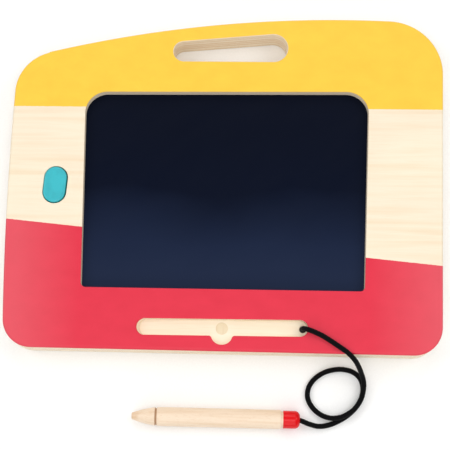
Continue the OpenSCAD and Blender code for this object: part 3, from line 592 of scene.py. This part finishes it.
# Adds one node: inputs take values or other nodes' sockets, settings are its attributes, stops fill its ramp
def add(tree, kind, inputs=None, stops=None, out=0, **settings):
    made = tree.nodes.new("ShaderNode" + kind)
    for key, value in settings.items():
        setattr(made, key, value)
    for key, value in (inputs or {}).items():
        if isinstance(value, bpy.types.NodeSocket):
            tree.links.new(value, made.inputs[key])
        else:
            made.inputs[key].default_value = value
    if stops:
        ramp = made.color_ramp
        while len(ramp.elements) < len(stops):
            ramp.elements.new(0.5)
        for element, (at, colour) in zip(ramp.elements, stops):
            element.position = at
            element.color = linear(colour) if isinstance(colour, str) else (colour, colour, colour, 1.0)
    return made.outputs[out]


# New material with its shader's own constants set; returns material, tree, shader and the Object coordinates
def finish(name, **constants):
    material = bpy.data.materials.new(name)
    material.use_nodes = True
    tree = material.node_tree
    shader = tree.nodes["Principled BSDF"]
    for key, value in constants.items():
        shader.inputs[key.replace("_", " ")].default_value = value
    return material, tree, shader, add(tree, "TexCoord", out="Object")


# Noise whose grains have the given sizes in mm along x, y and z, about a centre in mm and turned about Z
def grains(tree, source, size, detail=3.0, rough=0.5, centre=(0, 0, 0), turn=0.0, warp=0.0):
    at = add(
        tree,
        "Mapping",
        {"Vector": source, "Location": [x * mm for x in centre], "Rotation": (0, 0, math.radians(turn)),
         "Scale": [x * mm for x in size]},
        vector_type="TEXTURE",
    )
    inputs = {"Vector": at, "Scale": 1.0, "Detail": detail, "Roughness": rough, "Distortion": warp}
    return add(tree, "TexNoise", inputs)


def bump(tree, shader, height, strength, depth):
    tree.links.new(
        add(tree, "Bump", {"Height": height, "Strength": strength, "Distance": depth * mm}),
        shader.inputs["Normal"],
    )


def dress(piece, material):
    data = piece.data
    if not data.materials:
        data.materials.append(material)
    for slot in piece.material_slots:
        slot.material = material


# Birch plywood: rotary-cut veneers, hot-pressed with thin glue lines, sanded; the two face veneers show soft
# cathedral bands and short fibres, the edge shows the plies end-grain and long-grain in turn

birch = {
    "early": "#f1eada",  # between the growth bands
    "late": "#ecdfc8",  # in the bands
    "fleck": "#e6d3b4",  # fibres
    "longPly": "#fbf1df",
    "endPly": "#efdcbf",
    "glue": "#cfae86",
    "glueLine": 0.09,  # thickness
    "bandLength": 150.0, "bandWidth": 7.0,
    "fibreLength": 16.0, "fibreWidth": 0.35,
}
paint = {
    "yellow": "#f8c93f",
    "red": "#de2942",
    "yellowFrom": 47.7,  # height of its lower edge on the middle line
    "yellowRise": 0.15,
    "redTo": -39.7,  # height of its upper edge on the middle line
    "redFall": 5.6,
    "soft": 0.12,  # half the width of the masked edge
    "wander": 0.1,  # of that edge, to each side
    "paintedSheenFrom": 90.0, "paintedSheenTo": 130.0, "paintedSheenShare": 0.05,  # painted sheen: the red's share of white towards both ends
    "wrap": 1.45,  # how far the paint goes down the rounded edges
    "slotWrap": 0.25,  # the handle slot is milled after spraying, so its rounded rim is bare
    "slotZone": (45.0, 13.15),  # half the size of the area round the slot where that holds
}


def veneer(tree, place, b):
    bands = grains(tree, place, (b["bandLength"], b["bandWidth"], 20), 4, 0.55, warp=0.35)
    fibres = grains(tree, place, (b["fibreLength"], b["fibreWidth"], 1), 2, 0.6)
    drift = grains(tree, place, (60, 45, 30), 2, 0.5)
    ground = add(tree, "ValToRGB", {0: bands}, stops=[(0.3, b["late"]), (0.5, b["early"]), (0.72, b["late"])])
    thread = add(tree, "ValToRGB", {0: fibres}, stops=[(0.55, 0.0), (0.78, 0.35)])
    wood = add(tree, "Mix", {0: thread, 6: ground, 7: linear(b["fleck"])}, out=2, data_type="RGBA")
    shift = add(tree, "ValToRGB", {0: drift}, stops=[(0.3, "#fff4ea"), (0.7, "#fffaf0")])
    wood = add(tree, "Mix", {0: 1.0, 6: wood, 7: shift}, out=2, data_type="RGBA", blend_type="MULTIPLY")
    return wood, fibres


# Edge of a ply stack between two heights: a ramp over the height gives each ply its tone, glue lines between
def plyEdge(tree, place, height, low, high, plies, b):
    share = b["glueLine"] / (high - low)
    stops = [(0.0, b["longPly"])]
    for k in range(1, plies):
        at = k / plies
        stops += [(at - share / 2, b["glue"]), (at + share / 2, b["endPly"] if k % 2 else b["longPly"])]
    level = add(tree, "MapRange", {0: height, 1: low * mm, 2: high * mm, 3: 0.0, 4: 1.0})
    wave = grains(tree, place, (9, 9, 3), 2, 0.5)
    sway = add(tree, "MapRange", {0: wave, 1: 0.3, 2: 0.7, 3: -0.012, 4: 0.012})
    level = add(tree, "Math", {0: level, 1: sway}, operation="ADD")
    ramp = add(tree, "ValToRGB", {0: level}, stops=stops)
    ramp.node.color_ramp.interpolation = "CONSTANT"
    pores = grains(tree, place, (0.7, 0.7, 0.16), 3, 0.65)
    dark = add(tree, "ValToRGB", {0: pores}, stops=[(0.35, "#e3cfb2"), (0.6, "#ffffff")])
    edge = add(tree, "Mix", {0: 0.55, 6: ramp, 7: dark}, out=2, data_type="RGBA", blend_type="MULTIPLY")
    return edge, pores


def birchPly(name, low, high, plies, b, paintSet=None):
    material, tree, shader, place = finish(name, Roughness=0.55, IOR=1.5, Specular_IOR_Level=0.35)
    xyz = add(tree, "SeparateXYZ", {0: place}).node.outputs
    normal = add(tree, "TexCoord", out="Normal")
    facing = add(tree, "Math", {0: add(tree, "SeparateXYZ", {0: normal}, out=2)}, operation="ABSOLUTE")
    flat = add(tree, "MapRange", {0: facing, 1: 0.25, 2: 0.4})
    wood, fibres = veneer(tree, place, b)
    edge, pores = plyEdge(tree, place, xyz[2], low, high, plies, b)
    colour = add(tree, "Mix", {0: flat, 6: edge, 7: wood}, out=2, data_type="RGBA")
    rough = add(tree, "MapRange", {0: fibres, 1: 0.3, 2: 0.8, 3: 0.5, 4: 0.68})
    height = add(tree, "Mix", {0: flat, 2: pores, 3: fibres}, data_type="FLOAT")
    if paintSet:
        p = paintSet
        soft = p["soft"] * mm
        lean = add(tree, "Math", {0: xyz[0], 1: math.tan(math.radians(p["redFall"])), 2: xyz[1]},
                   operation="MULTIPLY_ADD")
        # The masking tape's edge wanders a little
        wander = grains(tree, place, (2, 2, 2), 3)
        bleed = add(tree, "MapRange", {0: wander, 1: 0.3, 2: 0.7, 3: -p["wander"] * mm, 4: p["wander"] * mm})
        lean = add(tree, "Math", {0: lean, 1: bleed}, operation="ADD")
        upper = add(tree, "Math", {0: xyz[0], 1: -math.tan(math.radians(p["yellowRise"])), 2: xyz[1]},
                    operation="MULTIPLY_ADD")
        upper = add(tree, "Math", {0: upper, 1: bleed}, operation="ADD")
        start, stop = p["yellowFrom"] * mm, p["redTo"] * mm
        yellow = add(tree, "MapRange", {0: upper, 1: start - soft, 2: start + soft})
        red = add(tree, "MapRange", {0: lean, 1: stop + soft, 2: stop - soft})
        reach = add(tree, "Attribute", attribute_name="paintReach", out=2)
        level = add(tree, "Math", {0: reach, 1: mm, 2: xyz[2]}, operation="MULTIPLY_ADD")
        top = add(tree, "MapRange", {0: level, 1: (high - 0.1) * mm, 2: (high + 0.1) * mm})
        turnedUp = add(tree, "MapRange", {0: facing, 1: 0.1, 2: 0.2})
        top = add(tree, "Math", {0: top, 1: turnedUp}, operation="MULTIPLY")
        yellow = add(tree, "Math", {0: yellow, 1: top}, operation="MULTIPLY")
        red = add(tree, "Math", {0: red, 1: top}, operation="MULTIPLY")
        painted = add(tree, "Math", {0: yellow, 1: red}, operation="ADD")
        # Sprayed water-based enamel: thin enough that the sanded grain still reads in its sheen
        mottle = grains(tree, place, (14, 9, 9), 3, 0.6)
        tone = add(tree, "ValToRGB", {0: mottle}, stops=[(0.3, "#f9f7f5"), (0.7, "#ffffff")])
        for mask, key in ((yellow, "yellow"), (red, "red")):
            coat = add(tree, "Mix", {0: 1.0, 6: linear(p[key]), 7: tone}, out=2, data_type="RGBA",
                       blend_type="MULTIPLY")
            colour = add(tree, "Mix", {0: mask, 6: colour, 7: coat}, out=2, data_type="RGBA")
        # Painted sheen: towards both ends the red is mixed with a little white, so it is paler there
        away = add(tree, "Math", {0: xyz[0]}, operation="ABSOLUTE")
        paintedSheen = add(
            tree, "MapRange", {0: away, 1: p["paintedSheenFrom"] * mm, 2: p["paintedSheenTo"] * mm, 3: 0.0, 4: p["paintedSheenShare"]}
        )
        paintedSheen = add(tree, "Math", {0: paintedSheen, 1: red}, operation="MULTIPLY")
        colour = add(tree, "Mix", {0: paintedSheen, 6: colour, 7: linear("#ffffff")}, out=2, data_type="RGBA")
        sheen = add(tree, "MapRange", {0: mottle, 1: 0.3, 2: 0.7, 3: 0.34, 4: 0.42})
        rough = add(tree, "Mix", {0: painted, 2: rough, 3: sheen}, data_type="FLOAT")
        peel = grains(tree, place, (0.9, 0.6, 0.6), 2, 0.5)
        height = add(tree, "Mix", {0: painted, 2: height, 3: peel}, data_type="FLOAT")
    tree.links.new(colour, shader.inputs["Base Color"])
    tree.links.new(rough, shader.inputs["Roughness"])
    bump(tree, shader, height, 0.35, 0.06)
    return material


# How far down each boundary's edge the paint reaches, in mm, kept on the points
def paintReach(piece, p):
    at = np.zeros(len(piece.data.vertices) * 3)
    piece.data.vertices.foreach_get("co", at)
    x, y, _ = at.reshape(-1, 3).T / mm
    halfWide, halfHigh = p["slotZone"]
    nearSlot = (np.abs(x) < halfWide) & (np.abs(y - slotLine[1][0][1]) < halfHigh)
    layer = piece.data.attributes.new("paintReach", "FLOAT", "POINT")
    layer.data.foreach_set("value", np.where(nearSlot, p["slotWrap"], p["wrap"]).astype(np.float32))


paintReach(frontPly, paint)
# The core's birch is paler than the faces': painted light that lifts the groove floor, which lies in shade
# down its recess
litCoreBirch = {**birch, "early": "#fbf6ea", "late": "#f7eddb"}
dress(frontPly, birchPly("sprayedBirchPly", board["frontZ"], board["topZ"], 5, birch, paint))
dress(coreBoard, birchPly("coreBirchPly", board["coreZ"], board["frontZ"], 7, litCoreBirch))
dress(backPly, birchPly("backBirchPly", 0.0, board["coreZ"], 3, birch))
print("plywood finished")

# Writing film: cholesteric liquid crystal between PET sheets with a matt hard coat; near black, and painted
# bluer and paler towards the bottom of the film: a painted reflection of the room's light

film = {
    "top": "#080d1c", "middle": "#080f21", "low": "#1a243c", "foot": "#1e2840",
    "edgeY": 58.0, "footY": -69.0,
}


def writingFilm(f):
    material, tree, shader, place = finish("hardCoatedFilm", Roughness=0.3, IOR=1.5, Specular_IOR_Level=0.06)
    xyz = add(tree, "SeparateXYZ", {0: place}).node.outputs
    cloud = grains(tree, place, (70, 55, 10), 2, 0.45)
    # Painted reflection: the colour runs from near black at the top to bluer and paler at the bottom, broken
    # up by a slow cloud
    down = add(tree, "MapRange", {0: xyz[1], 1: f["edgeY"] * mm, 2: f["footY"] * mm})
    down = add(tree, "Math", {0: cloud, 1: 0.22, 2: down}, operation="MULTIPLY_ADD")
    colour = add(tree, "ValToRGB", {0: down},
                 stops=[(0.1, f["top"]), (0.6, f["middle"]), (0.86, f["low"]), (1.0, f["foot"])])
    fine = grains(tree, place, (0.25, 0.25, 0.25), 2, 0.6)
    speck = add(tree, "ValToRGB", {0: fine}, stops=[(0.3, "#dfe3ea"), (0.7, "#ffffff")])
    colour = add(tree, "Mix", {0: 0.4, 6: colour, 7: speck}, out=2, data_type="RGBA", blend_type="MULTIPLY")
    tree.links.new(colour, shader.inputs["Base Color"])
    strokes = grains(tree, place, (30, 12, 4), 3, 0.6, turn=35)
    rub = add(tree, "MapRange", {0: strokes, 1: 0.3, 2: 0.7, 3: 0.28, 4: 0.33})
    tree.links.new(rub, shader.inputs["Roughness"])
    bump(tree, shader, fine, 0.15, 0.01)
    return material


dress(nodes["lcd_screen"], writingFilm(film))

# Stylus: a beech dowel turned on a lathe, with a burnt ring and a thin wax; the grain runs along it

dowel = {"pale": "#eed8bf", "dark": "#e3c6a6", "ray": "#c99e73", "burnt": "#a87a50", "tipTone": "#d3ab80"}


def waxedBeech(d, s):
    material, tree, shader, place = finish("waxedBeech", Roughness=0.45, IOR=1.5, Coat_Weight=0.12)
    shader.inputs["Coat Roughness"].default_value = 0.3
    where = {"centre": s["tip"], "turn": s["turn"]}
    along = add(
        tree,
        "Mapping",
        {"Vector": place, "Location": [x * mm for x in s["tip"]], "Rotation": (0, 0, math.radians(s["turn"])),
         "Scale": (mm, mm, mm)},
        vector_type="TEXTURE",
    )
    reach = add(tree, "SeparateXYZ", {0: along})
    rings = grains(tree, place, (60, 2.4, 2.0), 4, 0.55, warp=0.4, **where)
    rays = grains(tree, place, (2.6, 0.28, 0.28), 2, 0.5, **where)
    wood = add(tree, "ValToRGB", {0: rings}, stops=[(0.3, d["dark"]), (0.52, d["pale"]), (0.75, d["dark"])])
    fleck = add(tree, "ValToRGB", {0: rays}, stops=[(0.6, 0.0), (0.74, 0.45)])
    wood = add(tree, "Mix", {0: fleck, 6: wood, 7: linear(d["ray"])}, out=2, data_type="RGBA")
    # Handling tans the first millimetres of the tip; friction burns the ring
    worn = add(tree, "MapRange", {0: reach, 1: 0.0, 2: 5.0, 3: 0.6, 4: 0.0})
    wood = add(tree, "Mix", {0: worn, 6: wood, 7: linear(d["tipTone"])}, out=2, data_type="RGBA")
    middle, half = s["cone"] + s["ring"] / 2, s["ring"] / 2 + 0.1
    ring = add(tree, "Math", {0: reach, 1: middle, 2: half}, operation="COMPARE")
    char = add(tree, "Math", {0: ring, 1: add(tree, "MapRange", {0: rays, 1: 0.2, 2: 0.8, 3: 1.0, 4: 0.75})},
               operation="MULTIPLY")
    wood = add(tree, "Mix", {0: char, 6: wood, 7: linear(d["burnt"])}, out=2, data_type="RGBA")
    tree.links.new(wood, shader.inputs["Base Color"])
    wax = add(tree, "MapRange", {0: rings, 1: 0.3, 2: 0.7, 3: 0.38, 4: 0.52})
    tree.links.new(wax, shader.inputs["Roughness"])
    bump(tree, shader, rays, 0.25, 0.05)
    return material


dress(penBarrel, waxedBeech(dowel, stylus))

# Plastics: injection moulded. The mould's spark-eroded texture gives a fine orange peel, and regrind a faint
# mottle


def moulded(name, colour, shade, rough, texture, depth, coat=0.0, shine=0.5):
    material, tree, shader, place = finish(name, Roughness=rough, IOR=1.53, Coat_Weight=coat,
                                           Specular_IOR_Level=shine)
    shader.inputs["Coat Roughness"].default_value = 0.06
    peel = grains(tree, place, (texture,) * 3, 3, 0.6)
    mottle = grains(tree, place, (texture * 22,) * 3, 3, 0.5)
    tone = add(tree, "ValToRGB", {0: mottle}, stops=[(0.32, shade), (0.62, colour)])
    tree.links.new(tone, shader.inputs["Base Color"])
    wear = add(tree, "MapRange", {0: peel, 1: 0.3, 2: 0.7, 3: rough * 0.85, 4: rough * 1.15})
    tree.links.new(wear, shader.inputs["Roughness"])
    bump(tree, shader, peel, 0.4, depth)
    return material


dress(buttonCap, moulded("mouldedTealAbs", "#2db5c0", "#27a8b3", 0.36, 0.28, 0.02))
dress(penCap, moulded("glossRedAbs", "#dc0610", "#cf040c", 0.22, 0.5, 0.01, 0.04, 0.2))
blackAbs = moulded("mouldedBlackAbs", "#26272a", "#1c1d20", 0.5, 0.3, 0.03)
doorAbs = moulded("mouldedDoorAbs", "#3a3b3f", "#2d2e32", 0.55, 0.35, 0.05)
nylon = moulded("mouldedNylon", "#d8d5cb", "#c8c4b8", 0.45, 0.3, 0.03)
epoxy = moulded("mouldedEpoxy", "#222327", "#17181b", 0.6, 0.2, 0.03)

# Tether: eight-strand braid of spun black polyester; its colour is painted a little lighter on the strand
# crowns, where they catch light, and black in the gaps between them: painted light and shade

braid = {"crown": "#070709", "gap": "#010102", "fuzz": "#0f0f12"}


def braidedPolyester(y, c):
    material, tree, shader, place = finish("braidedPolyester", Roughness=0.85, IOR=1.4, Sheen_Weight=0.05,
                                           Specular_IOR_Level=0.15)
    shader.inputs["Sheen Roughness"].default_value = 0.5
    where = add(tree, "SeparateXYZ", {0: add(tree, "UVMap", uv_map="winding")}).node.outputs
    half = math.pi * c["strands"]
    waves = []
    for way in (1, -1):
        run = add(tree, "Math", {0: where[1], 1: way * half / c["pitch"]}, operation="MULTIPLY")
        turn = add(tree, "Math", {0: where[0], 1: half, 2: run}, operation="MULTIPLY_ADD")
        waves.append(add(tree, "Math", {0: turn}, operation="COSINE"))
    crown = add(tree, "Math", {0: waves[0], 1: waves[1]}, operation="MAXIMUM")
    thread = grains(tree, place, (0.22, 0.22, 0.22), 3, 0.7)
    # Painted light and shade: the colour is lighter on the strand crowns and black in the gaps between them
    colour = add(tree, "ValToRGB", {0: add(tree, "MapRange", {0: crown, 1: -0.4, 2: 1.0})},
                 stops=[(0.15, y["gap"]), (0.9, y["crown"])])
    fuzz = add(tree, "ValToRGB", {0: thread}, stops=[(0.58, 0.0), (0.72, 0.5)])
    colour = add(tree, "Mix", {0: fuzz, 6: colour, 7: linear(y["fuzz"])}, out=2, data_type="RGBA")
    tree.links.new(colour, shader.inputs["Base Color"])
    bump(tree, shader, thread, 0.6, 0.08)
    return material


dress(cordTube, braidedPolyester(braid, tether))


# The knots are melted hard, so their fibres are fused to dull lumps
def fusedPolyester(y):
    material, tree, shader, place = finish("fusedPolyester", Roughness=0.6, IOR=1.5)
    lump = grains(tree, place, (0.9, 0.9, 0.9), 4, 0.6)
    tone = add(tree, "ValToRGB", {0: lump}, stops=[(0.3, y["gap"]), (0.7, y["crown"])])
    tree.links.new(tone, shader.inputs["Base Color"])
    bump(tree, shader, lump, 0.7, 0.2)
    return material


knotBlack = fusedPolyester(braid)

# Metals: each has the marks its making leaves. Rolled strip and drawn wire have long scratches, plated parts
# a soft orange peel under small handling marks


def metal(name, colour, shade, rough, scratch, turn=0.0):
    material, tree, shader, place = finish(name, Metallic=1.0, Roughness=rough, IOR=2.5)
    lines = grains(tree, place, scratch, 3, 0.6, turn=turn)
    cloud = grains(tree, place, (6, 6, 6), 3, 0.5)
    tone = add(tree, "ValToRGB", {0: cloud}, stops=[(0.3, shade), (0.7, colour)])
    tree.links.new(tone, shader.inputs["Base Color"])
    tree.links.new(
        add(tree, "MapRange", {0: lines, 1: 0.3, 2: 0.7, 3: rough * 0.75, 4: rough * 1.35}),
        shader.inputs["Roughness"],
    )
    bump(tree, shader, lines, 0.3, 0.01)
    return material


zincScrew = metal("zincPlatedSteel", "#b9bcc2", "#9fa3aa", 0.34, (0.6, 0.6, 0.6))
springStrip = metal("rolledSpringSteel", "#b4b2ac", "#9a9891", 0.3, (8, 0.15, 0.15))
brassStrip = metal("stampedBrass", "#c9a14c", "#a9822f", 0.32, (6, 0.15, 0.15), 90)
cellCan = metal("drawnNickelSteel", "#c6c7c6", "#aeb0b0", 0.24, (5, 0.2, 0.2), 30)


# The groove's magnet sits under a shaved birch plug, glued in and sanded level, so its grain crosses the
# floor's
def birchPlug():
    material, tree, shader, place = finish("sandedBirchPlug", Roughness=0.6, IOR=1.5)
    rings = grains(tree, place, (1.6, 20, 4), 4, 0.6, warp=0.3)
    tone = add(tree, "ValToRGB", {0: rings}, stops=[(0.3, "#dcc8a4"), (0.55, "#e9d9ba"), (0.8, "#dfcba8")])
    tree.links.new(tone, shader.inputs["Base Color"])
    bump(tree, shader, rings, 0.3, 0.06)
    return material


# Glass-epoxy board under solder mask: the weave shows through as a faint grid
def maskedBoard():
    material, tree, shader, place = finish("solderMaskedBoard", Roughness=0.3, IOR=1.55)
    weave = add(tree, "TexVoronoi", {"Vector": place, "Scale": 1100.0})
    tone = add(tree, "ValToRGB", {0: weave}, stops=[(0.1, "#17502c"), (0.8, "#24713f")])
    tree.links.new(tone, shader.inputs["Base Color"])
    bump(tree, shader, weave, 0.3, 0.03)
    return material


# Closed-cell foam, die-cut: matt, full of cut cells
def dieCutFoam():
    material, tree, shader, place = finish("dieCutFoam", Roughness=0.95, IOR=1.4)
    cells = add(tree, "TexVoronoi", {"Vector": place, "Scale": 2500.0})
    tone = add(tree, "ValToRGB", {0: cells}, stops=[(0.1, "#0e0e10"), (0.7, "#232327")])
    tree.links.new(tone, shader.inputs["Base Color"])
    bump(tree, shader, cells, 0.8, 0.1)
    return material


# Polyimide cable: amber film over etched copper tracks that run along it
def flatCable():
    material, tree, shader, place = finish("amberPolyimide", Roughness=0.25, IOR=1.7)
    run = {"Vector": place, "Scale": 320.0, "Distortion": 0.0}
    tracks = add(tree, "TexWave", run, bands_direction="Y", out=1)
    tone = add(tree, "ValToRGB", {0: tracks}, stops=[(0.4, "#8a4a12"), (0.6, "#c07a2e")])
    tree.links.new(tone, shader.inputs["Base Color"])
    bump(tree, shader, tracks, 0.3, 0.03)
    return material


finishes = {
    "screen_gasket": dieCutFoam(),
    "screen_tray": blackAbs,
    "screen_tail": flatCable(),
    "control_board": maskedBoard(),
    "board_parts": epoxy,
    "board_screws": zincScrew,
    "panel_screws": zincScrew,
    "door_screw": zincScrew,
    "tact_switch": epoxy,
    "switch_dome": springStrip,
    "switch_plunger": nylon,
    "battery_holder": blackAbs,
    "contact_plus": brassStrip,
    "contact_minus": springStrip,
    "coin_cell": cellCan,
    "battery_door": doorAbs,
    "door_insert": brassStrip,
    "tray_magnet": birchPlug(),
    "tether_knot": knotBlack,
    "cap_knot": knotBlack,
}
for name, material in finishes.items():
    dress(nodes[name], material)
print("materials on", len(finishes), "carried-over nodes")

# Room: a pale paper sweep, five soft boxes and a dim white room

room = {
    "floorHalf": 2.2,  # metres
    "paper": "#fafaf9",
    "shade": "#f6f6f5",
    "world": 0.36,
    "boxes": [
        # name, place, side length, watts
        ("softLeft", (-0.95, 0.15, 1.15), 0.8, 5),
        ("softRight", (0.95, 0.15, 1.15), 0.8, 5),
        ("softBack", (0.0, 1.3, 1.25), 1.2, 8),
        ("softTop", (0.0, -0.5, 1.7), 1.0, 8),
        ("softFront", (0.0, -1.2, 0.7), 1.0, 5),
    ],
}


def makeRoom(r):
    half = r["floorHalf"]
    mesh = bpy.data.meshes.new("paperSweep")
    corner = [(-half, -half), (half, -half), (half, half), (-half, half)]
    mesh.from_pydata([(x, y, -0.00005) for x, y in corner], [], [(0, 1, 2, 3)])
    floor = bpy.data.objects.new("paperSweep", mesh)
    bpy.context.scene.collection.objects.link(floor)
    material, tree, shader, place = finish("mattPaper", Roughness=0.9, IOR=1.45)
    fibre = grains(tree, place, (1.2, 1.2, 1.2), 3, 0.6)
    tone = add(tree, "ValToRGB", {0: fibre}, stops=[(0.3, r["shade"]), (0.7, r["paper"])])
    tree.links.new(tone, shader.inputs["Base Color"])
    dress(floor, material)
    for name, spot, side, watts in r["boxes"]:
        light = bpy.data.lights.new(name, "AREA")
        light.size = side
        light.energy = watts
        lamp = bpy.data.objects.new(name, light)
        aim = (-Vector(spot)).to_track_quat("-Z", "Y").to_matrix().to_4x4()
        lamp.matrix_world = Matrix.Translation(spot) @ aim
        bpy.context.scene.collection.objects.link(lamp)
    world = bpy.data.worlds.new("paleRoom")
    world.use_nodes = True
    world.node_tree.nodes["Background"].inputs["Color"].default_value = (1.0, 1.0, 1.0, 1.0)
    world.node_tree.nodes["Background"].inputs["Strength"].default_value = r["world"]
    bpy.context.scene.world = world


makeRoom(room)
print("room lit")
